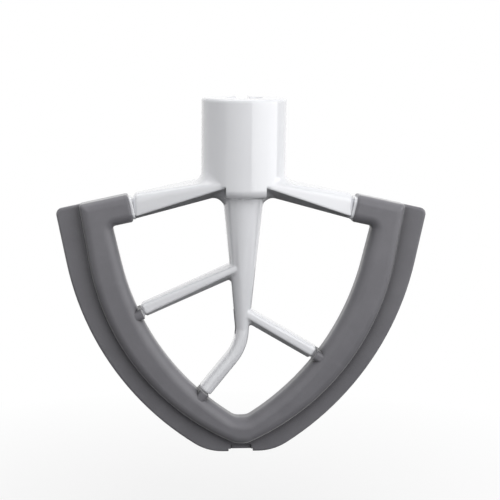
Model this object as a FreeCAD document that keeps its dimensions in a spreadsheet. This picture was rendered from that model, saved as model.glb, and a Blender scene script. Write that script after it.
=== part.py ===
import FreeCAD, Part
import Sketcher
import math
import os

# Flat beater: a coated die-cast body with a hub, two arms, a stem and three struts, and a rubber
# scraper edge moulded round the body's outer loop.
# Millimetres and degrees. The origin is on the bore's axis at its mouth, +Z points up out of the
# bore, X runs across the beater and the front faces -Y. A "drop" is a depth below the origin.

SIZES = {
    # Hub and its socket
    "hub_radius": 16.0,
    "hub_drop": 31.5,
    "hub_top_round": 1.2,
    "bore_radius": 6.45,
    "bore_depth": 27.0,
    "bore_chamfer": 0.8,
    "drill_angle": 30.0,
    "slot_width": 5.0,
    "slot_drop": 13.0,
    "slot_sweep": 55.0,
    # Tongue: the front and back of the hub, carried down over the stem
    "tongue_half_width": 7.5,
    "tongue_length": 4.6,
    "tongue_round": 3.4,
    # Arms, from the hub out to the necks beside the scraper edge
    "arm_root": 0.0,
    "arm_seat": 1.0,
    "arm_slope": 10.45,
    "arm_root_height": 6.47,
    "arm_root_round": 1.2,
    "arm_inset_share": 0.014,
    "arm_end_height": 9.9,
    "arm_end_depth": 9.6,
    "arm_end_round": 3.2,
    "arm_draft": 18.0,
    "arm_crease_round": 0.4,
    "arm_keel_round": 1.0,
    "arm_tip_bevel": 1.0,
    "arm_hub_fillet": 4.5,
    "arm_stem_fillet": 4.0,
    # Neck and flange between an arm and the edge's sleeve
    "neck_length": 2.2,
    "neck_inset": 2.0,
    "neck_depth": 5.6,
    "flange_thickness": 1.1,
    "flange_inset": 1.1,
    "flange_depth": 9.4,
    "flange_round": 2.0,
    # Stem and the leg that it bends into
    "stem_drop": 87.5,
    "stem_sink": 1.5,
    "stem_top_width": 16.83,
    "stem_top_depth": 19.38,
    "stem_foot_width": 5.0,
    "stem_foot_depth": 8.8,
    "leg_bend_radius": 18.6,
    "leg_turn": 38.5,
    # Cross bars
    "left_bar_drop": 63.3,
    "left_bar_fall": 24.0,
    "left_bar_root_depth": 12.2,
    "left_bar_end_depth": 6.0,
    "left_bar_fillet": 1.0,
    "right_bar_drop": 81.1,
    "right_bar_fall": 30.5,
    "right_bar_root_depth": 9.4,
    "right_bar_end_depth": 7.6,
    "right_bar_fillet": 1.0,
    "bar_height": 5.6,
    "bar_top_draft": 4.0,
    "bar_draft": 27.0,
    "bar_brow_round": 1.2,
    "bar_crease_round": 0.6,
    "bar_keel_round": 0.8,
    "strut_end_bevel": 0.6,
    # Where the struts enter the edge
    "strut_gap": 1.7,
    "strut_overlap": 1.0,
    "strut_neck_height": 2.4,
    "strut_neck_depth": 4.0,
    "collar_height": 4.2,
    "collar_depth": 10.4,
    "collar_round": 1.6,
    "collar_rise": 1.1,
    "left_bar_collar_sink": 0.6,
    # Scraper edge: tube, sleeves and wing
    "bend_drop": 61.7,
    "bend_half_width": 66.7,
    "side_angle": 11.25,
    "inner_side_angle": 13.3,
    "tube_side_angle": 9.6,
    "wing_width": 8.7,
    "wing_thickness": 2.6,
    "wing_rim_round": 1.0,
    "wing_corner_round": 2.5,
    "wing_lip": 4.0,
    "wing_flat": 12.6,
    "wing_foot_round": 20.0,
    "notch_half_width": 4.8,
    "notch_height": 1.2,
    "notch_step_half_width": 4.0,
    "notch_step_height": 1.7,
    "notch_step_depth": 0.6,
    "groove_fillet": 1.0,
    "tube_width": 12.0,
    "tube_depth": 11.4,
    "tube_inner_round": 4.0,
    "tube_outer_round": 3.2,
    "tube_bottom": 10.1,
    "tube_flat": 2.2,
    "tube_foot_round": 7.0,
    "inner_bottom_drop": 122.6,
    "inner_flat": 2.4,
    "inner_foot_round": 5.0,
    "elbow_round": 1.2,
    "sleeve_reach": 23.1,
    "sleeve_lip_round": 1.0,
    "sleeve_step": 0.4,
    "sleeve_height": 10.7,
    "sleeve_slope": 12.2,
    "edge_wall": 3.0,
}

# How far a cutting outline runs past the surface that it cuts
OVERSHOOT = 1.0
# How close two points lie to count as the same place
NEAR = 0.01

doc = FreeCAD.newDocument("flat_beater")
sheet = doc.addObject("Spreadsheet::Sheet", "sizes")
rows = []


def add_row(alias, content):
    """One line of the sheet: a name, and a number or a formula that goes by that name."""
    rows.append(alias)
    sheet.set(f"A{len(rows)}", alias)
    sheet.set(f"B{len(rows)}", content)
    sheet.setAlias(f"B{len(rows)}", alias)


for size_name, size_value in SIZES.items():
    add_row(size_name, str(size_value))
sheet.recompute()


class Dim:
    """A length worked out from the sheet: its value, and the same sum as a cell expression."""

    def __init__(self, value, text):
        self.value = value
        self.text = text

    @staticmethod
    def of(other):
        return other if isinstance(other, Dim) else Dim(float(other), str(other))

    def __add__(self, other):
        other = Dim.of(other)
        return Dim(self.value + other.value, f"({self.text} + {other.text})")

    def __sub__(self, other):
        other = Dim.of(other)
        return Dim(self.value - other.value, f"({self.text} - {other.text})")

    def __mul__(self, other):
        other = Dim.of(other)
        return Dim(self.value * other.value, f"({self.text} * {other.text})")

    def __truediv__(self, other):
        other = Dim.of(other)
        return Dim(self.value / other.value, f"({self.text} / {other.text})")

    def __neg__(self):
        return Dim(-self.value, f"(-{self.text})")


def dim(alias):
    return Dim(float(sheet.get(alias)), f"sizes.{alias}")


def derive(alias, length):
    """Keep a worked-out length in the sheet, as a formula under its own alias."""
    add_row(alias, "=" + length.text.replace("sizes.", ""))
    sheet.recompute()
    return dim(alias)


def sin(angle):
    return Dim(math.sin(math.radians(angle.value)), f"sin({angle.text} * 1 deg)")


def cos(angle):
    return Dim(math.cos(math.radians(angle.value)), f"cos({angle.text} * 1 deg)")


def tan(angle):
    return Dim(math.tan(math.radians(angle.value)), f"tan({angle.text} * 1 deg)")


def sqrt(square):
    return Dim(math.sqrt(square.value), f"sqrt({square.text})")


ZERO = Dim.of(0)

# Places that follow others: the sleeves keep their reach from the bends, the arms end a neck's
# length short of them, and what hangs on the hub moves with its foot
hub = dim("hub_radius")
hub_drop = dim("hub_drop")
sleeve_end = derive("sleeve_end", dim("bend_half_width") - dim("sleeve_reach"))
arm_end = derive("arm_end", sleeve_end - dim("neck_length"))
arm_rim_place = derive("arm_rim", arm_end - dim("arm_tip_bevel"))
arm_root_top_drop = derive("arm_root_top_drop", hub_drop - dim("arm_seat") - hub * tan(dim("arm_slope")))
arm_end_top_drop = derive("arm_end_top_drop", arm_root_top_drop + arm_rim_place * tan(dim("arm_slope")))
derive("sleeve_top_drop", arm_end_top_drop + dim("sleeve_step"))
derive("stem_top_drop", hub_drop - dim("stem_sink"))
derive("tongue_drop", hub_drop + dim("tongue_length"))


# Names for the sketcher's point and axis numbers
START, END, CENTRE = 1, 2, 3
ORIGIN, ACROSS_AXIS, UP_AXIS = -1, -1, -2


def plane_of(body, role):
    return next(plane for plane in body.Origin.OriginFeatures if plane.Role == role)


def new_sketch(body, name, role, up=ZERO, out=ZERO, turn=ZERO):
    """A sketch on an origin plane, moved up in the plane and out of it, and turned about its x axis."""
    sketch = body.newObject("Sketcher::SketchObject", name)
    sketch.AttachmentSupport = [(plane_of(body, role), "")]
    sketch.MapMode = "FlatFace"
    rotation = FreeCAD.Rotation(FreeCAD.Vector(1, 0, 0), turn.value)
    sketch.AttachmentOffset = FreeCAD.Placement(FreeCAD.Vector(0, up.value, out.value), rotation)
    for path, shift in (("Base.y", up), ("Base.z", out), ("Rotation.Angle", turn)):
        if shift is not ZERO:
            sketch.setExpression(f"AttachmentOffset.{path}", shift.text)
    return sketch


def line(sketch, start, end):
    ends = [FreeCAD.Vector(Dim.of(x).value, Dim.of(y).value, 0) for x, y in (start, end)]
    return sketch.addGeometry(Part.LineSegment(*ends))


def arc(sketch, centre, radius, first, last):
    """An arc drawn anticlockwise from the angle first to the angle last, in degrees."""
    circle = Part.Circle(FreeCAD.Vector(*centre, 0), FreeCAD.Vector(0, 0, 1), radius)
    return sketch.addGeometry(Part.ArcOfCircle(circle, math.radians(first), math.radians(last)))


def arc_between(sketch, centre, first, last):
    """An arc drawn anticlockwise from the point first to the point last."""
    angles = [math.degrees(math.atan2(y - centre[1], x - centre[0])) for x, y in (first, last)]
    return arc(sketch, centre, math.dist(centre, first), *angles)


def join(sketch, kind, *pairs):
    """Coincident or tangent constraints between (curve, end) pairs."""
    for (first, first_end), (second, second_end) in pairs:
        sketch.addConstraint(Sketcher.Constraint(kind, first, first_end, second, second_end))


def pin(sketch, curve, end, across=None, up=None):
    """Dimension one point of the sketch from its origin."""
    for kind, axis, place in (("DistanceX", UP_AXIS, across), ("DistanceY", ACROSS_AXIS, up)):
        if place is None:
            continue
        if place.value == 0:
            sketch.addConstraint(Sketcher.Constraint("PointOnObject", curve, end, axis))
            continue
        row = sketch.addConstraint(Sketcher.Constraint(kind, ORIGIN, START, curve, end, place.value))
        sketch.setExpression(f"Constraints[{row}]", place.text)


def set_angle(sketch, curve, degrees):
    row = sketch.addConstraint(Sketcher.Constraint("Angle", curve, math.radians(degrees.value)))
    sketch.setExpression(f"Constraints[{row}]", f"{degrees.text} * 1 deg")


def outline(sketch, corners):
    """A closed outline of straight lines, anticlockwise, through (x, y) or (x, y, radius) corners.

    A corner with a radius is rounded; its dimensions still hold where the two lines would meet.
    """
    points = [FreeCAD.Vector(corner[0].value, corner[1].value, 0) for corner in corners]
    spots = []
    for index, corner in enumerate(corners):
        here = points[index]
        back = (points[index - 1] - here).normalize()
        ahead = (points[(index + 1) % len(points)] - here).normalize()
        half_angle = back.getAngle(ahead) / 2
        radius = corner[2].value if len(corner) == 3 else 0.0
        cut = radius / math.tan(half_angle)
        middle = here + (back + ahead).normalize() * (radius / math.sin(half_angle))
        spots.append((here + back * cut, here + ahead * cut, middle))
    after = spots[1:] + spots[:1]
    lines = [line(sketch, (a[1].x, a[1].y), (b[0].x, b[0].y)) for a, b in zip(spots, after)]
    for index, corner in enumerate(corners):
        arrives, leaves = lines[index - 1], lines[index]
        if len(corner) == 2:
            join(sketch, "Coincident", ((arrives, END), (leaves, START)))
            pin(sketch, leaves, START, *corner)
            continue
        first, last, middle = spots[index]
        bend = arc_between(sketch, (middle.x, middle.y), (first.x, first.y), (last.x, last.y))
        join(sketch, "Tangent", ((arrives, END), (bend, START)), ((bend, END), (leaves, START)))
        row = sketch.addConstraint(Sketcher.Constraint("Radius", bend, corner[2].value))
        sketch.setExpression(f"Constraints[{row}]", corner[2].text)
        tip = sketch.addGeometry(Part.Point(points[index]), True)
        for side in (arrives, leaves):
            sketch.addConstraint(Sketcher.Constraint("PointOnObject", tip, START, side))
        pin(sketch, tip, START, corner[0], corner[1])


def stadium(sketch, half_width, half_depth):
    """A slot-shaped section: straight flanks with a half circle at the front and at the back."""
    flank = half_depth - half_width
    w, f = half_width.value, flank.value
    right = line(sketch, (w, -f), (w, f))
    back = arc(sketch, (0, f), w, 0, 180)
    left = line(sketch, (-w, f), (-w, -f))
    front = arc(sketch, (0, -f), w, 180, 360)
    loop = [right, back, left, front]
    join(sketch, "Tangent", *(((a, END), (b, START)) for a, b in zip(loop, loop[1:] + loop[:1])))
    sketch.addConstraint(Sketcher.Constraint("Vertical", right))
    pin(sketch, right, START, half_width, -flank)
    pin(sketch, right, END, up=flank)
    pin(sketch, back, CENTRE, across=ZERO)
    pin(sketch, front, CENTRE, across=ZERO)


def pad(body, name, sketch, length, reverse=False, symmetric=False):
    feature = body.newObject("PartDesign::Pad", name)
    feature.Profile = sketch
    feature.SideType = "Symmetric" if symmetric else "One side"
    feature.Reversed = reverse
    feature.setExpression("Length", length.text)
    return feature


def loft(body, name, first, last):
    feature = body.newObject("PartDesign::AdditiveLoft", name)
    feature.Profile = first
    feature.Sections = [last]
    return feature


def turned(body, name, kind, sketch):
    """A full turn of the sketch about its own upright axis, added or cut away."""
    feature = body.newObject(f"PartDesign::{kind}", name)
    feature.Profile = sketch
    feature.ReferenceAxis = (sketch, ["V_Axis"])
    feature.Angle = 360


def mirror_across(body, name):
    """Complete the body by a mirror image across the YZ plane."""
    feature = body.newObject("PartDesign::Mirrored", name)
    feature.TransformMode = "Whole shape"
    feature.MirrorPlane = (plane_of(body, "YZ_Plane"), [""])
    body.Tip = feature
    doc.recompute()


def fillet(body, name, wanted, radius):
    """Round the edges of the body so far that pass the test."""
    doc.recompute()
    base = body.Tip
    names = [f"Edge{number}" for number, edge in enumerate(base.Shape.Edges, 1) if wanted(edge)]
    feature = body.newObject("PartDesign::Fillet", name)
    feature.Base = (base, names)
    feature.setExpression("Radius", radius.text)
    return feature


def points_of(edge):
    """The two ends and the middle of an edge."""
    middle = edge.valueAt((edge.FirstParameter + edge.LastParameter) / 2)
    return [edge.Vertexes[0].Point, middle, edge.Vertexes[-1].Point]


def over_curves(sketch, curves, height):
    """A test for edges that lie over curves of an XZ sketch, at the height in front of and behind it."""
    shapes = [sketch.Geometry[curve].toShape() for curve in curves]

    def test(edge):
        points = points_of(edge)
        if any(abs(abs(point.y) - height.value) > NEAR for point in points):
            return False
        foot = Part.Vertex(points[1].x, points[1].z, 0)
        return any(shape.distToShape(foot)[0] < NEAR for shape in shapes)

    return test


def corner_of(sketch, curve, end):
    """A test for the edge that runs front to back through a corner of an XZ sketch."""
    corner = sketch.getPoint(curve, end)

    def test(edge):
        return all(math.hypot(p.x - corner.x, p.z - corner.y) < NEAR for p in points_of(edge))

    return test


# Outlines of the scraper edge, drawn for the right half

bend_x = dim("bend_half_width")
wall_x = bend_x - dim("wing_width")
inner_x = wall_x - dim("tube_width")
tube_bottom_drop = dim("inner_bottom_drop") + dim("tube_bottom")
wing_bottom_drop = tube_bottom_drop + dim("wing_lip")


def bend_circle(bend, side_angle, foot):
    """Centre and radius of the arc that leaves a straight side at bend and ends at foot."""
    inward = (-cos(side_angle), sin(side_angle))
    chord = (foot[0] - bend[0], foot[1] - bend[1])
    along = chord[0] * inward[0] + chord[1] * inward[1]
    radius = (chord[0] * chord[0] + chord[1] * chord[1]) / (along * 2)
    return bend[0] + radius * inward[0], bend[1] + radius * inward[1], radius


def bend_arc(sketch, bend, side_angle, foot):
    x, z, _ = bend_circle(bend, side_angle, foot)
    ends = [(point[0].value, point[1].value) for point in (foot, bend)]
    return arc_between(sketch, (x.value, z.value), *ends)


def crossing(point, angle, other_point, other_angle):
    """Where two lines meet, each given by a point and an angle in degrees."""
    a, b = math.radians(angle.value), math.radians(other_angle.value)
    (x, z), (other_x, other_z) = [(Dim.of(p[0]).value, Dim.of(p[1]).value) for p in (point, other_point)]
    reach = ((other_x - x) * math.sin(b) - (other_z - z) * math.cos(b)) / math.sin(b - a)
    return x + reach * math.cos(a), z + reach * math.sin(a)


# Curves of a half band, in the order they are drawn
(BOTTOM_IN, CURVE_IN, SIDE_IN, SLEEVE_LOW, SLEEVE_FACE, SLEEVE_TOP, SIDE_OUT, CURVE_OUT, BOTTOM_OUT,
 MIDDLE) = range(10)


def half_band(body, name, inset, top_inset, band_end, outer_x, outer_angle, outer_flat, outer_drop):
    """The right half of a band that follows the edge: sleeve, side and bottom, as one closed outline."""
    slope = dim("sleeve_slope")
    face_angle = Dim.of(90) - slope
    inner_angle = dim("inner_side_angle")
    top_drop = (dim("sleeve_top_drop") + (band_end - sleeve_end) * tan(slope)
                + top_inset / cos(slope))
    height = dim("sleeve_height") - top_inset - inset
    foot_in = (dim("inner_flat"), -(dim("inner_bottom_drop") + inset))
    bend_in = (inner_x + inset, -dim("bend_drop"))
    foot_out = (outer_flat, -outer_drop)
    bend_out = (outer_x, -dim("bend_drop"))
    end_top = (band_end, -top_drop)
    under = (band_end - height * sin(slope), -top_drop - height * cos(slope))
    side_up = Dim.of(90) - inner_angle
    outer_up = Dim.of(90) - outer_angle
    end_low = crossing(end_top, face_angle, under, -slope)
    elbow = crossing(bend_in, side_up, under, -slope)
    corner = crossing(bend_out, outer_up, end_top, -slope)

    sketch = new_sketch(body, name, "XZ_Plane")
    line(sketch, (0, foot_in[1]), foot_in)
    bend_arc(sketch, bend_in, inner_angle, foot_in)
    line(sketch, bend_in, elbow)
    line(sketch, elbow, end_low)
    line(sketch, end_low, end_top)
    line(sketch, end_top, corner)
    line(sketch, bend_out, corner)
    bend_arc(sketch, bend_out, outer_angle, foot_out)
    line(sketch, foot_out, (0, foot_out[1]))
    line(sketch, (0, foot_out[1]), (0, foot_in[1]))
    join(sketch, "Coincident",
         ((BOTTOM_IN, END), (CURVE_IN, START)), ((SIDE_IN, END), (SLEEVE_LOW, START)),
         ((SLEEVE_LOW, END), (SLEEVE_FACE, START)), ((SLEEVE_FACE, END), (SLEEVE_TOP, START)),
         ((SLEEVE_TOP, END), (SIDE_OUT, END)), ((CURVE_OUT, START), (BOTTOM_OUT, START)),
         ((BOTTOM_OUT, END), (MIDDLE, START)), ((MIDDLE, END), (BOTTOM_IN, START)))
    join(sketch, "Tangent", ((CURVE_IN, END), (SIDE_IN, START)), ((SIDE_OUT, START), (CURVE_OUT, END)))
    for flat in (BOTTOM_IN, BOTTOM_OUT):
        sketch.addConstraint(Sketcher.Constraint("Horizontal", flat))
    pin(sketch, MIDDLE, START, across=ZERO)
    pin(sketch, MIDDLE, END, across=ZERO)
    pin(sketch, BOTTOM_IN, END, *foot_in)
    pin(sketch, SIDE_IN, START, *bend_in)
    pin(sketch, BOTTOM_OUT, START, *foot_out)
    pin(sketch, SIDE_OUT, START, *bend_out)
    pin(sketch, SLEEVE_FACE, END, *end_top)
    set_angle(sketch, SIDE_IN, side_up)
    set_angle(sketch, SIDE_OUT, outer_up)
    set_angle(sketch, SLEEVE_TOP, -slope)
    set_angle(sketch, SLEEVE_FACE, face_angle)
    sketch.addConstraint(Sketcher.Constraint("Parallel", SLEEVE_LOW, SLEEVE_TOP))
    apart = Sketcher.Constraint("Distance", SLEEVE_LOW, START, SLEEVE_TOP, height.value)
    row = sketch.addConstraint(apart)
    sketch.setExpression(f"Constraints[{row}]", height.text)
    return sketch


# Blank of the scraper edge: one half is rounded and finished, then mirrored

edge_blank = doc.addObject("PartDesign::Body", "edge_blank")
tube_outline = half_band(edge_blank, "tube_outline", ZERO, ZERO, sleeve_end,
                         wall_x, dim("tube_side_angle"), dim("tube_flat"), tube_bottom_drop)
pad(edge_blank, "tube", tube_outline, dim("tube_depth"), symmetric=True)
tube_face = dim("tube_depth") / 2
fillet(edge_blank, "elbow", corner_of(tube_outline, SIDE_IN, END), dim("elbow_round"))
fillet(edge_blank, "inner_foot", corner_of(tube_outline, BOTTOM_IN, END), dim("inner_foot_round"))
fillet(edge_blank, "tube_foot", corner_of(tube_outline, BOTTOM_OUT, START), dim("tube_foot_round"))
fillet(edge_blank, "inner_round",
       over_curves(tube_outline, [BOTTOM_IN, CURVE_IN, SIDE_IN, SLEEVE_LOW], tube_face),
       dim("tube_inner_round"))
fillet(edge_blank, "outer_round",
       over_curves(tube_outline, [SLEEVE_TOP, SIDE_OUT, CURVE_OUT, BOTTOM_OUT], tube_face),
       dim("tube_outer_round"))

tilt = dim("sleeve_slope")


def on_sleeve_end(edge):
    """An edge round the sleeve's end face."""
    outward = FreeCAD.Vector(cos(tilt).value, 0, -sin(tilt).value)
    corner = FreeCAD.Vector(sleeve_end.value, 0, -dim("sleeve_top_drop").value)
    return all(abs((point - corner).dot(outward)) < NEAR for point in points_of(edge))


fillet(edge_blank, "sleeve_lip", on_sleeve_end, dim("sleeve_lip_round"))

wing_outline = half_band(edge_blank, "wing_outline", dim("edge_wall"), ZERO,
                         sleeve_end + dim("edge_wall"),
                         bend_x, dim("side_angle"), dim("wing_flat"), wing_bottom_drop)
pad(edge_blank, "wing", wing_outline, dim("wing_thickness"), symmetric=True)
wing_face = dim("wing_thickness") / 2
fillet(edge_blank, "wing_corner", corner_of(wing_outline, SIDE_OUT, END), dim("wing_corner_round"))
fillet(edge_blank, "wing_foot", corner_of(wing_outline, BOTTOM_OUT, START), dim("wing_foot_round"))

# The notch takes in the mirror plane, so both halves of it meet there
notch_outline = new_sketch(edge_blank, "notch_outline", "XZ_Plane")
notch_top = dim("notch_height") - wing_bottom_drop
notch_low = -wing_bottom_drop - OVERSHOOT
outline(notch_outline, [(Dim.of(-OVERSHOOT), notch_low), (dim("notch_half_width"), notch_low),
                        (dim("notch_half_width"), notch_top), (Dim.of(-OVERSHOOT), notch_top)])
notch = edge_blank.newObject("PartDesign::Pocket", "notch")
notch.Profile = notch_outline
notch.SideType = "Symmetric"
notch.setExpression("Length", "sizes.wing_thickness * 2")

fillet(edge_blank, "groove", over_curves(tube_outline, [SIDE_OUT, CURVE_OUT, BOTTOM_OUT], wing_face),
       dim("groove_fillet"))
fillet(edge_blank, "rim", over_curves(wing_outline, [SIDE_OUT, CURVE_OUT, BOTTOM_OUT], wing_face),
       dim("wing_rim_round"))

# A shallow step above the notch, in the front and in the back of the wing
step_top = notch_top + dim("notch_step_height")
step_middle = dim("wing_thickness") - dim("notch_step_depth")
for step_name, place in (("front_step", step_middle), ("back_step", -step_middle)):
    step_outline = new_sketch(edge_blank, f"{step_name}_outline", "XZ_Plane", out=place)
    outline(step_outline, [(Dim.of(-OVERSHOOT), notch_low), (dim("notch_step_half_width"), notch_low),
                           (dim("notch_step_half_width"), step_top), (Dim.of(-OVERSHOOT), step_top)])
    step = edge_blank.newObject("PartDesign::Pocket", step_name)
    step.Profile = step_outline
    step.SideType = "Symmetric"
    step.setExpression("Length", "sizes.wing_thickness")
mirror_across(edge_blank, "whole_edge")


# Die-cast body: the loop inside the edge and one arm are drawn on the right and mirrored

beater_body = doc.addObject("PartDesign::Body", "beater_body")
wall = dim("edge_wall")
core_outline = half_band(beater_body, "core_outline", wall, wall, arm_end,
                         wall_x - wall, dim("tube_side_angle"), dim("tube_flat"), tube_bottom_drop - wall)
pad(beater_body, "core", core_outline, dim("tube_depth") - wall * 2, symmetric=True)


def on_sleeve_face(distance, step):
    """A point down the sleeve's end face, moved towards the hub by step."""
    down = dim("sleeve_top_drop") + distance * cos(tilt)
    return sleeve_end - distance * sin(tilt) - step, -down


flange_outline = new_sketch(beater_body, "flange_outline", "XZ_Plane")
flange_low = dim("sleeve_height") - dim("flange_inset")
outline(flange_outline, [on_sleeve_face(flange_low, dim("flange_thickness")),
                         on_sleeve_face(flange_low, ZERO),
                         on_sleeve_face(dim("flange_inset"), ZERO),
                         on_sleeve_face(dim("flange_inset"), dim("flange_thickness"))])
pad(beater_body, "flange", flange_outline, dim("flange_depth"), symmetric=True)
flange_face = dim("flange_depth") / 2


def flange_corner(edge):
    """The four short edges at the corners of the flange."""
    points = points_of(edge)
    if any(abs(abs(point.y) - flange_face.value) > NEAR for point in points):
        return False
    return abs(points[0].z - points[2].z) < NEAR


fillet(beater_body, "flange_corners", flange_corner, dim("flange_round"))

neck_top = arm_end_top_drop + dim("neck_inset")
neck_low = arm_end_top_drop + dim("arm_end_height") - dim("neck_inset")
neck_foot = sleeve_end - dim("flange_thickness") / 2
neck_start = arm_end - dim("strut_overlap")
neck_outline = new_sketch(beater_body, "neck_outline", "XZ_Plane")
outline(neck_outline, [(neck_start, -neck_low),
                       (neck_foot - (neck_low - dim("sleeve_top_drop")) * tan(tilt), -neck_low),
                       (neck_foot - (neck_top - dim("sleeve_top_drop")) * tan(tilt), -neck_top),
                       (neck_start, -neck_top)])
pad(beater_body, "neck", neck_outline, dim("neck_depth"), symmetric=True)


def arm_section(name, station, top_drop, height, half_depth, shoulder):
    """A section of an arm: flat top with rounded shoulders, upright flanks, a drafted V underside."""
    keel = -(top_drop + height)
    crease = keel + half_depth * tan(dim("arm_draft"))
    crease_round = dim("arm_crease_round")
    sketch = new_sketch(beater_body, name, "YZ_Plane", out=station)
    outline(sketch, [(ZERO, keel, dim("arm_keel_round")), (half_depth, crease, crease_round),
                     (half_depth, -top_drop, shoulder), (-half_depth, -top_drop, shoulder),
                     (-half_depth, crease, crease_round)])
    return sketch


# The flanks of an arm start inside the hub's wall, by a share of the arm's length
root = dim("arm_root")
bevel = dim("arm_tip_bevel")
root_inset = derive("arm_root_inset", arm_rim_place * dim("arm_inset_share"))
arm_root = arm_section("arm_root", root, arm_root_top_drop, dim("arm_root_height"),
                       sqrt(hub * hub - root * root) - root_inset, dim("arm_root_round"))
arm_rim = arm_section("arm_rim_section", arm_rim_place, arm_end_top_drop, dim("arm_end_height"),
                      dim("arm_end_depth") / 2, dim("arm_end_round"))
arm_tip = arm_section("arm_tip", arm_end, arm_end_top_drop + bevel,
                      dim("arm_end_height") - bevel * 2, dim("arm_end_depth") / 2 - bevel,
                      dim("arm_end_round"))
loft(beater_body, "arm", arm_root, arm_rim)
loft(beater_body, "arm_bevel", arm_rim, arm_tip)
mirror_across(beater_body, "both_arms")


def level_stadium(name, drop, width, depth):
    sketch = new_sketch(beater_body, name, "XY_Plane", out=-drop)
    stadium(sketch, width / 2, depth / 2)
    return sketch


stem_top = level_stadium("stem_top", dim("stem_top_drop"), dim("stem_top_width"), dim("stem_top_depth"))
stem_foot = level_stadium("stem_foot", dim("stem_drop"), dim("stem_foot_width"), dim("stem_foot_depth"))
loft(beater_body, "stem", stem_top, stem_foot)


def around_stem(edge):
    """The edges where the undersides of the arms meet the stem."""
    half_width, half_depth = dim("stem_top_width").value / 2, dim("stem_top_depth").value / 2
    top, low = -dim("stem_top_drop").value, -arm_end_top_drop.value - dim("arm_end_height").value
    return all(abs(point.x) < half_width and abs(point.y) < half_depth and low < point.z < top
               for point in points_of(edge))


fillet(beater_body, "arms_to_stem", around_stem, dim("arm_stem_fillet"))

hub_outline = new_sketch(beater_body, "hub_outline", "YZ_Plane")
outline(hub_outline, [(ZERO, -hub_drop), (hub, -hub_drop),
                      (hub, dim("bore_chamfer"), dim("hub_top_round")), (ZERO, dim("bore_chamfer"))])
turned(beater_body, "hub", "Revolution", hub_outline)


def on_hub(edge):
    """An edge that lies on the hub's cylinder."""
    return all(abs(math.hypot(point.x, point.y) - hub.value) < NEAR for point in points_of(edge))


def arm_root_edge(edge):
    """The edge where the top of an arm meets the hub."""
    middle = points_of(edge)[1]
    return on_hub(edge) and abs(middle.y) < NEAR and middle.z < -arm_root_top_drop.value


fillet(beater_body, "arm_roots", arm_root_edge, dim("arm_hub_fillet"))

tongue_outline = new_sketch(beater_body, "tongue_outline", "XY_Plane", out=-hub_drop)
half = dim("tongue_half_width")
side = sqrt(hub * hub - half * half)
spread = math.degrees(math.acos(half.value / hub.value))
right_side = line(tongue_outline, (half, -side), (half, side))
back_arc = arc(tongue_outline, (0, 0), hub.value, spread, 180 - spread)
left_side = line(tongue_outline, (-half, side), (-half, -side))
front_arc = arc(tongue_outline, (0, 0), hub.value, 180 + spread, 360 - spread)
loop = [right_side, back_arc, left_side, front_arc]
join(tongue_outline, "Coincident", *(((a, END), (b, START)) for a, b in zip(loop, loop[1:] + loop[:1])))
for curve in (back_arc, front_arc):
    tongue_outline.addConstraint(Sketcher.Constraint("Coincident", curve, CENTRE, ORIGIN, START))
tongue_outline.addConstraint(Sketcher.Constraint("Equal", back_arc, front_arc))
pin(tongue_outline, right_side, START, half, -side)
pin(tongue_outline, right_side, END, half)
pin(tongue_outline, left_side, START, -half)
pin(tongue_outline, left_side, END, -half)
pad(beater_body, "tongue", tongue_outline, dim("tongue_drop") - hub_drop, reverse=True)


def tongue_rim(edge):
    """The lower edges of the tongue, at the front and at the back."""
    return on_hub(edge) and abs(points_of(edge)[1].z + dim("tongue_drop").value) < NEAR


fillet(beater_body, "tongue_rim", tongue_rim, dim("tongue_round"))


# Struts: the leg under the stem and the two cross bars, each aimed at the inner curve of the edge

inner_bend = (inner_x, -dim("bend_drop"))
inner_foot = (dim("inner_flat"), -dim("inner_bottom_drop"))
curve_aliases = ("inner_curve_x", "inner_curve_z", "inner_curve_radius")
curve_parts = bend_circle(inner_bend, dim("inner_side_angle"), inner_foot)
curve_x, curve_z, curve_radius = [derive(*pair) for pair in zip(curve_aliases, curve_parts)]


class Strut:
    """A bar from the stem to the edge on the left (-1) or the right (+1), falling at an angle.

    Its neck and collar sit lower than its middle by the sink.
    """

    def __init__(self, name, side, x, z, fall, sink=ZERO):
        self.name = name
        self.side = side
        self.x = x
        self.z = z
        self.fall = fall
        self.sink = sink
        from_centre = (x * side - curve_x, z - curve_z)
        along = from_centre[0] * cos(fall) - from_centre[1] * sin(fall)
        across = from_centre[0] * sin(fall) + from_centre[1] * cos(fall)
        self.reach = derive(f"{name}_reach", sqrt(curve_radius * curve_radius - across * across) - along)
        self.end = self.reach - dim("strut_gap")

    def sketch(self, body, name, distance):
        """A sketch square to the strut: x runs to the back, y upwards."""
        return new_sketch(body, name, "YZ_Plane", up=self.z - distance * sin(self.fall),
                          out=self.x + distance * cos(self.fall) * self.side, turn=self.fall * self.side)


bend_radius = dim("leg_bend_radius")
turn = dim("leg_turn")
bend_end = (bend_radius * cos(turn) - bend_radius, -dim("stem_drop") - bend_radius * sin(turn))
leg = Strut("leg", -1, *bend_end, Dim.of(90) - turn)
left_bar = Strut("left_bar", -1, ZERO, -dim("left_bar_drop"), dim("left_bar_fall"),
                 dim("left_bar_collar_sink"))
right_bar = Strut("right_bar", 1, ZERO, -dim("right_bar_drop"), dim("right_bar_fall"))

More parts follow.
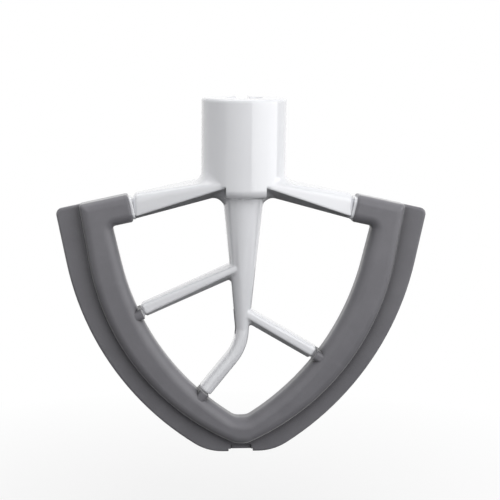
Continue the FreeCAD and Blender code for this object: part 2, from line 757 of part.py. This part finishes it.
leg_path = new_sketch(beater_body, "leg_path", "XZ_Plane")
leg_arc = arc(leg_path, (-bend_radius.value, -dim("stem_drop").value), bend_radius.value, -turn.value, 0)
leg_foot = (bend_end[0] - leg.end * sin(turn), bend_end[1] - leg.end * cos(turn))
leg_line = line(leg_path, bend_end, leg_foot)
join(leg_path, "Tangent", ((leg_arc, START), (leg_line, START)))
pin(leg_path, leg_arc, END, ZERO, -dim("stem_drop"))
pin(leg_path, leg_arc, CENTRE, -bend_radius, -dim("stem_drop"))
pin(leg_path, leg_line, START, across=bend_end[0])
length_row = leg_path.addConstraint(Sketcher.Constraint("Distance", leg_line, leg.end.value))
leg_path.setExpression(f"Constraints[{length_row}]", leg.end.text)
leg_section = level_stadium("leg_section", dim("stem_drop"), dim("stem_foot_width"),
                            dim("stem_foot_depth"))
leg_pipe = beater_body.newObject("PartDesign::AdditivePipe", "leg")
leg_pipe.Profile = leg_section
leg_pipe.Spine = (leg_path, ["Edge1", "Edge2"])


def bar_section(strut, name, distance, depth, height):
    """A section of a cross bar: nearly flat top, drafted underside, parted along its middle."""
    sketch = strut.sketch(beater_body, name, distance)
    half_depth = depth / 2
    ridge = height / 2
    brow = ridge - half_depth * tan(dim("bar_top_draft"))
    crease = half_depth * tan(dim("bar_draft")) - ridge
    crease_round = dim("bar_crease_round")
    brow_round = dim("bar_brow_round")
    outline(sketch, [(ZERO, -ridge, dim("bar_keel_round")), (half_depth, crease, crease_round),
                     (half_depth, brow, brow_round), (ZERO, ridge), (-half_depth, brow, brow_round),
                     (-half_depth, crease, crease_round)])
    return sketch


def add_bar(strut):
    """A cross bar that narrows from the stem to a bevelled end."""
    height = dim("bar_height")
    end_depth = dim(f"{strut.name}_end_depth")
    cut = dim("strut_end_bevel")
    root_section = bar_section(strut, f"{strut.name}_root", ZERO, dim(f"{strut.name}_root_depth"), height)
    rim_section = bar_section(strut, f"{strut.name}_rim", strut.end - cut, end_depth, height)
    tip_section = bar_section(strut, f"{strut.name}_tip", strut.end, end_depth - cut * 2,
                              height - cut * 2)
    loft(beater_body, strut.name, root_section, rim_section)
    loft(beater_body, f"{strut.name}_bevel", rim_section, tip_section)


def fillet_bar(strut):
    """Round the corner all the way round the bar where it leaves the stem."""
    outer_x = dim("stem_top_width").value / 2
    above, below = strut.z.value + outer_x, strut.z.value - outer_x

    def at_root(edge):
        return all(0 < point.x * strut.side < outer_x and below < point.z < above
                   for point in points_of(edge))

    fillet(beater_body, f"{strut.name}_root_fillet", at_root, dim(f"{strut.name}_fillet"))


for strut in (left_bar, right_bar):
    add_bar(strut)
    fillet_bar(strut)


def at_leg_end(edge):
    """The rim of the leg's end face."""
    run = FreeCAD.Vector(-cos(leg.fall).value, 0, -sin(leg.fall).value)
    start = FreeCAD.Vector(leg.x.value, 0, leg.z.value)
    return all(abs((point - start).dot(run) - leg.end.value) < NEAR for point in points_of(edge))


fillet(beater_body, "leg_end", at_leg_end, dim("strut_end_bevel"))


def stub(body, strut, name, start, length, height, depth, *corner_round):
    """A block along a strut, on its way into the edge."""
    sketch = strut.sketch(body, f"{name}_section", start)
    top = height / 2 - strut.sink
    low = top - height
    outline(sketch, [(-depth / 2, low, *corner_round), (depth / 2, low, *corner_round),
                     (depth / 2, top, *corner_round), (-depth / 2, top, *corner_round)])
    return pad(body, name, sketch, length, reverse=strut.side < 0)


for strut in (leg, left_bar, right_bar):
    stub(beater_body, strut, f"{strut.name}_neck", strut.end - dim("strut_overlap"),
         dim("strut_overlap") + dim("strut_gap") + wall * 2, dim("strut_neck_height"),
         dim("strut_neck_depth"))
    stub(edge_blank, strut, f"{strut.name}_collar", strut.reach - dim("collar_rise"),
         dim("collar_rise") + wall * 2, dim("collar_height"), dim("collar_depth"), dim("collar_round"))


# Socket: a blind bore with a lead-in, and a bayonet slot through the back wall. The slot drops from
# the mouth and then turns clockwise, as seen from above.

bore = dim("bore_radius")
chamfer = dim("bore_chamfer")
bore_outline = new_sketch(beater_body, "bore_outline", "YZ_Plane")
outline(bore_outline, [(ZERO, -dim("bore_depth") - bore * tan(dim("drill_angle"))),
                       (bore, -dim("bore_depth")), (bore, ZERO), (bore + chamfer * 2, chamfer * 2),
                       (ZERO, chamfer * 2)])
turned(beater_body, "bore", "Groove", bore_outline)

half_slot = dim("slot_width") / 2
slot_top = new_sketch(beater_body, "slot_top", "XY_Plane", out=chamfer)
outline(slot_top, [(-half_slot, ZERO), (half_slot, ZERO), (half_slot, hub + OVERSHOOT),
                   (-half_slot, hub + OVERSHOOT)])
slot = beater_body.newObject("PartDesign::Pocket", "slot")
slot.Profile = slot_top
slot.setExpression("Length", (chamfer + dim("slot_drop")).text)

catch_outline = new_sketch(beater_body, "catch_outline", "YZ_Plane")
catch_top = dim("slot_width") - dim("slot_drop")
outline(catch_outline, [(bore / 2, -dim("slot_drop")), (hub + OVERSHOOT, -dim("slot_drop")),
                        (hub + OVERSHOOT, catch_top), (bore / 2, catch_top)])
catch = beater_body.newObject("PartDesign::Groove", "slot_catch")
catch.Profile = catch_outline
catch.ReferenceAxis = (catch_outline, ["V_Axis"])
catch.Reversed = True
catch.setExpression("Angle", "sizes.slot_sweep")

# Scraper edge: the blank less the body that it is moulded round

scraper_edge = doc.addObject("Part::Cut", "scraper_edge")
scraper_edge.Base = edge_blank
scraper_edge.Tool = beater_body
doc.recompute()

for item in doc.Objects:
    if "Invalid" in item.State or "Error" in item.State:
        raise RuntimeError(f"{item.Label} did not build: {item.State}")

# The slot ends on the right of the back wall and leaves the left of it whole
wall_middle = (bore.value + hub.value) / 2
half_way = wall_middle / 2
catch_level = -dim("slot_drop").value + dim("slot_width").value / 2
for x, inside in ((half_way, False), (-half_way, True)):
    spot = FreeCAD.Vector(x, math.sqrt(wall_middle ** 2 - x ** 2), catch_level)
    if beater_body.Shape.isInside(spot, NEAR, False) != inside:
        raise RuntimeError("The slot turns the wrong way")

os.makedirs("parts", exist_ok=True)
for part in (beater_body, scraper_edge):
    if part.Shape.isNull() or not part.Shape.isValid() or len(part.Shape.Solids) != 1:
        raise RuntimeError(f"{part.Label} is not one sound solid")
    part.Shape.exportStep(f"parts/{part.Label}.step")
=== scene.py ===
import bpy
import math
from mathutils import Matrix, Vector

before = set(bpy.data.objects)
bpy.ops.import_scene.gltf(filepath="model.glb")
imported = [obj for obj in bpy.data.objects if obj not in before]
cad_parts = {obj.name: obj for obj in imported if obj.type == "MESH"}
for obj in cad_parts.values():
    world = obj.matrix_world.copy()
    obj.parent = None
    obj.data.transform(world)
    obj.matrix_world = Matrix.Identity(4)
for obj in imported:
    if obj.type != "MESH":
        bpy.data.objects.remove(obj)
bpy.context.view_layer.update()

# Lengths are metres, as in the frame
MM = 0.001

# Stage: the point that the lamps face, the floor, and the black cloth that lies on it
MIDDLE = Vector((0.0, 0.0, -0.064))
FLOOR_Z = -0.172
FLOOR_SIDE = 8.0
FLOOR_FADE = (0.02, 0.22)
FLOOR_WHITENESS = (0.35, 1.0)
FLAG_WIDTH = 0.60
FLAG_DEPTH = 0.64
FLAG_PLACE = (0.0, 0.08, FLOOR_Z + 2.0 * MM)

# The backdrop's light changes over this range of the direction's Y, from the front to the back
BACKDROP_RAMP = (-0.2, 0.4)
FRONT_LIGHT = 0.50
BACK_LIGHT = 0.66

# Colours: linear red, green, blue and alpha
WHITE = (1.0, 1.0, 1.0, 1.0)
FLOOR_SEEN = (0.92, 0.92, 0.92, 1.0)
FLOOR_BOUNCED = (0.06, 0.06, 0.06, 1.0)
FLAG_BLACK = (0.02, 0.02, 0.02, 1.0)
ENAMEL = (0.845, 0.853, 0.885, 1.0)
ENAMEL_PALE = (0.875, 0.883, 0.915, 1.0)
ENAMEL_SPECK = (0.72, 0.726, 0.75, 1.0)
RUBBER = (0.180, 0.177, 0.193, 1.0)
RUBBER_PALE = (0.207, 0.204, 0.221, 1.0)
RUBBER_BLOOM = (0.258, 0.254, 0.274, 1.0)
RUBBER_GRAIN = (0.132, 0.130, 0.141, 1.0)
# Painted shade: the near-black that the rubber's base colour is darkened towards in its grooves
RUBBER_PAINTED_GROOVE_SHADE = (0.022, 0.0216, 0.0235, 1.0)

# The range that most values of a noise fall in, and the whole range of a factor
COMMON = (0.3, 0.7)
FULL = (0.0, 1.0)

# Rays traced from a point to find nearby edges, and to find the grooves that shade is painted into
ROUNDING_SAMPLES = 14
GROOVE_SHADE_SAMPLES = 6

# Sockets of the mix node that carry colours; its numbers and vectors have sockets of the same names
MIX_FACTOR = 0
MIX_FIRST = 6
MIX_SECOND = 7
MIX_RESULT = 2


class Nodes:
    """A small helper that adds shader nodes to one tree and links them."""

    def __init__(self, tree):
        self.tree = tree
        tree.nodes.clear()

    def add(self, kind, settings=None, **inputs):
        """A new node; an input's name has underscores for its spaces."""
        node = self.tree.nodes.new(kind)
        for name, value in (settings or {}).items():
            setattr(node, name, value)
        for name, value in inputs.items():
            self.feed(node.inputs[name.replace("_", " ")], value)
        return node

    def feed(self, socket, value):
        """Links an output to the socket, or sets the socket to a plain value."""
        if isinstance(value, bpy.types.NodeSocket):
            self.tree.links.new(value, socket)
        else:
            socket.default_value = value

    def noise(self, place, scale, detail, roughness=0.5, distortion=0.0):
        node = self.add(
            "ShaderNodeTexNoise",
            Vector=place,
            Scale=scale,
            Detail=detail,
            Roughness=roughness,
            Distortion=distortion,
        )
        return node.outputs["Fac"]

    def spread(self, value, source, target):
        """Maps a value from one (low, high) range to another, held at its ends."""
        node = self.add(
            "ShaderNodeMapRange",
            {"clamp": True},
            Value=value,
            From_Min=source[0],
            From_Max=source[1],
            To_Min=target[0],
            To_Max=target[1],
        )
        return node.outputs["Result"]

    def tint(self, factor, first, second):
        """The first colour where the factor is 0, the second where it is 1."""
        node = self.add("ShaderNodeMix", {"data_type": "RGBA"})
        self.feed(node.inputs[MIX_FACTOR], factor)
        self.feed(node.inputs[MIX_FIRST], first)
        self.feed(node.inputs[MIX_SECOND], second)
        return node.outputs[MIX_RESULT]

    def math(self, operation, first, second):
        node = self.add("ShaderNodeMath", {"operation": operation})
        self.feed(node.inputs[0], first)
        self.feed(node.inputs[1], second)
        return node.outputs[0]

    def mix(self, factor, first, second):
        """The first shader where the factor is 0, the second where it is 1."""
        node = self.add("ShaderNodeMixShader", Fac=factor)
        self.feed(node.inputs[1], first.outputs[0])
        self.feed(node.inputs[2], second.outputs[0])
        return node

    def rounded_edges(self, radius):
        """A normal that turns softly over sharp edges, as a coat or a mould leaves them."""
        node = self.add("ShaderNodeBevel", {"samples": ROUNDING_SAMPLES}, Radius=radius)
        return node.outputs["Normal"]

    def bump(self, height, strength, depth, normal):
        node = self.add("ShaderNodeBump", Height=height, Strength=strength, Distance=depth, Normal=normal)
        return node.outputs["Normal"]


def new_material(name):
    material = bpy.data.materials.new(name)
    material.use_nodes = True
    return material, Nodes(material.node_tree)


def finish_material(nodes, shader):
    nodes.add("ShaderNodeOutputMaterial", Surface=shader.outputs[0])


def coating():
    """Glossy white enamel on a casting: orange peel, fine specks and a faint unevenness of tone."""
    material, nodes = new_material("coating")
    place = nodes.add("ShaderNodeTexCoord").outputs["Object"]
    cloud = nodes.noise(place, scale=45.0, detail=3.0)
    peel = nodes.noise(place, scale=620.0, detail=1.5)
    grain = nodes.noise(place, scale=2600.0, detail=2.0)
    specks = nodes.spread(grain, (0.66, 0.78), (0.0, 0.25))
    colour = nodes.tint(nodes.spread(cloud, COMMON, FULL), ENAMEL, ENAMEL_PALE)
    colour = nodes.tint(specks, colour, ENAMEL_SPECK)
    rough = nodes.math(
        "ADD",
        nodes.spread(cloud, COMMON, (0.16, 0.24)),
        nodes.spread(grain, COMMON, (-0.02, 0.03)),
    )
    normal = nodes.rounded_edges(1.1 * MM)
    normal = nodes.bump(peel, strength=0.07, depth=0.10 * MM, normal=normal)
    normal = nodes.bump(grain, strength=0.05, depth=0.04 * MM, normal=normal)
    shader = nodes.add(
        "ShaderNodeBsdfPrincipled",
        Base_Color=colour,
        Roughness=rough,
        Normal=normal,
        IOR=1.52,
        Coat_Weight=1.0,
        Coat_Roughness=0.05,
        Coat_IOR=1.5,
    )
    finish_material(nodes, shader)
    return material


def edge_rubber():
    """Grey silicone: a fine mould grain, slight bloom, a soft sheen and shade painted into the grooves.
    """
    material, nodes = new_material("edge_rubber")
    place = nodes.add("ShaderNodeTexCoord").outputs["Object"]
    cloud = nodes.noise(place, scale=60.0, detail=4.0, roughness=0.6)
    bloom = nodes.noise(place, scale=210.0, detail=5.0, roughness=0.65, distortion=0.4)
    grain = nodes.noise(place, scale=3200.0, detail=3.0, roughness=0.6)
    bloomed = nodes.spread(bloom, (0.55, 0.75), (0.0, 0.22))
    grained = nodes.spread(grain, (0.58, 0.72), (0.0, 0.30))
    # Painted shade: ambient occlusion finds the grooves and closed corners of the rubber, where its base
    # colour is darkened
    painted_shade_ao = nodes.add(
        "ShaderNodeAmbientOcclusion",
        {"samples": GROOVE_SHADE_SAMPLES, "only_local": True},
        Distance=12.0 * MM,
    )
    clear_of_painted_shade = nodes.spread(painted_shade_ao.outputs["AO"], (0.58, 0.98), FULL)
    colour = nodes.tint(nodes.spread(cloud, COMMON, FULL), RUBBER, RUBBER_PALE)
    colour = nodes.tint(bloomed, colour, RUBBER_BLOOM)
    colour = nodes.tint(grained, colour, RUBBER_GRAIN)
    # Painted shade in the grooves, mixed into the base colour
    colour = nodes.tint(clear_of_painted_shade, RUBBER_PAINTED_GROOVE_SHADE, colour)
    rough = nodes.math(
        "ADD",
        nodes.spread(bloom, (0.35, 0.7), (0.32, 0.42)),
        nodes.spread(grain, COMMON, (-0.04, 0.06)),
    )
    normal = nodes.rounded_edges(0.4 * MM)
    normal = nodes.bump(grain, strength=0.22, depth=0.08 * MM, normal=normal)
    normal = nodes.bump(cloud, strength=0.10, depth=0.30 * MM, normal=normal)
    shader = nodes.add(
        "ShaderNodeBsdfPrincipled",
        Base_Color=colour,
        Roughness=rough,
        Normal=normal,
        IOR=1.42,
        Sheen_Weight=1.0,
        Sheen_Roughness=0.30,
    )
    finish_material(nodes, shader)
    return material


def seen_directly(nodes):
    """1 for camera, glossy and transmission rays, which show the stage, 0 for rays that only light."""
    path = nodes.add("ShaderNodeLightPath").outputs
    seen = nodes.math("MAXIMUM", path["Is Camera Ray"], path["Is Glossy Ray"])
    return nodes.math("MAXIMUM", seen, path["Is Transmission Ray"])


def plain_plane(name, width, depth, place, material):
    """A level rectangle of the stage."""
    x, y = width / 2, depth / 2
    corners = [(-x, -y, 0), (x, -y, 0), (x, y, 0), (-x, y, 0)]
    mesh = bpy.data.meshes.new(name)
    mesh.from_pydata(corners, [], [(0, 1, 2, 3)])
    mesh.materials.append(material)
    plane = bpy.data.objects.new(name, mesh)
    plane.location = place
    bpy.context.scene.collection.objects.link(plane)
    return plane


def floor():
    """A pale floor, low enough that the beater hangs free; it runs out into the white round about."""
    material, nodes = new_material("floor")
    place = nodes.add("ShaderNodeTexCoord").outputs["Object"]
    away = nodes.add("ShaderNodeVectorMath", {"operation": "LENGTH"})
    nodes.feed(away.inputs[0], place)
    far = nodes.spread(away.outputs["Value"], FLOOR_FADE, FLOOR_WHITENESS)
    shaded = nodes.add("ShaderNodeBsdfDiffuse", Color=FLOOR_SEEN)
    white = nodes.add("ShaderNodeEmission", Color=WHITE, Strength=1.0)
    shown = nodes.mix(far, shaded, white)
    bounced = nodes.add("ShaderNodeBsdfDiffuse", Color=FLOOR_BOUNCED)
    finish_material(nodes, nodes.mix(seen_directly(nodes), bounced, shown))
    plain_plane("floor", FLOOR_SIDE, FLOOR_SIDE, (0.0, 0.0, FLOOR_Z), material)


def dark_flag():
    """A black cloth on the floor under the beater, which shows only as a reflection in it."""
    material, nodes = new_material("flag")
    finish_material(nodes, nodes.add("ShaderNodeBsdfDiffuse", Color=FLAG_BLACK))
    flag = plain_plane("flag", FLAG_WIDTH, FLAG_DEPTH, FLAG_PLACE, material)
    flag.visible_camera = False
    flag.visible_diffuse = False
    flag.visible_shadow = False


def studio_world(front, back):
    """White all round to look at; as light, dim from the front and brighter from the backdrop."""
    world = bpy.data.worlds.new("studio")
    world.use_nodes = True
    nodes = Nodes(world.node_tree)
    direction = nodes.add("ShaderNodeTexCoord").outputs["Generated"]
    backward = nodes.add("ShaderNodeSeparateXYZ", Vector=direction).outputs["Y"]
    light = nodes.spread(backward, BACKDROP_RAMP, (front, back))
    level = nodes.math("MAXIMUM", light, seen_directly(nodes))
    background = nodes.add("ShaderNodeBackground", Color=WHITE, Strength=level)
    nodes.add("ShaderNodeOutputWorld", Surface=background.outputs[0])
    bpy.context.scene.world = world


def around_beater(azimuth, elevation, distance):
    """A place round the beater: degrees from its front towards its right, degrees up, metres away."""
    turn, climb = math.radians(azimuth), math.radians(elevation)
    level = math.cos(climb)
    direction = Vector((level * math.sin(turn), -level * math.cos(turn), math.sin(climb)))
    return MIDDLE + distance * direction


def softbox(name, azimuth, elevation, distance, width, height, radiance):
    """A rectangular lamp of even brightness, turned to face the beater."""
    lamp = bpy.data.lights.new(name, "AREA")
    lamp.shape = "RECTANGLE"
    lamp.size = width
    lamp.size_y = height
    lamp.energy = radiance * math.pi * width * height
    stand = bpy.data.objects.new(name, lamp)
    stand.location = around_beater(azimuth, elevation, distance)
    stand.rotation_euler = (MIDDLE - stand.location).to_track_quat("-Z", "Y").to_euler()
    stand.visible_camera = False
    bpy.context.scene.collection.objects.link(stand)


def photo_camera():
    """The photograph's camera: its place, aim and roll were worked out from the beater's outline."""
    place = Vector((-0.0417, -0.5018, 0.0272))
    yaw, pitch, roll = (math.radians(angle) for angle in (5.07, 9.5, -0.64))
    focal_pixels, image_pixels = 1338.0, 500.0
    forward = Vector((
        math.sin(yaw) * math.cos(pitch),
        math.cos(yaw) * math.cos(pitch),
        -math.sin(pitch),
    ))
    level = Vector((math.cos(yaw), -math.sin(yaw), 0.0))
    down = forward.cross(level)
    right = math.cos(roll) * level + math.sin(roll) * down
    up = math.sin(roll) * level - math.cos(roll) * down
    turn = Matrix((right, up, -forward)).transposed()
    camera = bpy.data.cameras.new("camera")
    camera.sensor_fit = "HORIZONTAL"
    camera.sensor_width = 36.0
    camera.lens = camera.sensor_width * focal_pixels / image_pixels
    camera.clip_start = 10.0 * MM
    stand = bpy.data.objects.new("camera", camera)
    stand.matrix_world = Matrix.Translation(place) @ turn.to_4x4()
    bpy.context.scene.collection.objects.link(stand)
    bpy.context.scene.camera = stand


def dress(node, material):
    """Gives a CAD node its material."""
    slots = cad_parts[node].data.materials
    slots.clear()
    slots.append(material)


dress("beater_body", coating())
dress("scraper_edge", edge_rubber())
floor()
dark_flag()
studio_world(FRONT_LIGHT, BACK_LIGHT)
softbox("key", azimuth=56.0, elevation=12.0, distance=0.85, width=1.45, height=0.75, radiance=1.90)
softbox("fill", azimuth=-20.0, elevation=15.0, distance=0.90, width=1.20, height=1.00, radiance=0.52)
softbox("overhead", azimuth=-150.0, elevation=74.0, distance=0.80, width=0.80, height=0.50, radiance=1.2)
photo_camera()
bpy.context.scene.view_settings.view_transform = "Standard"
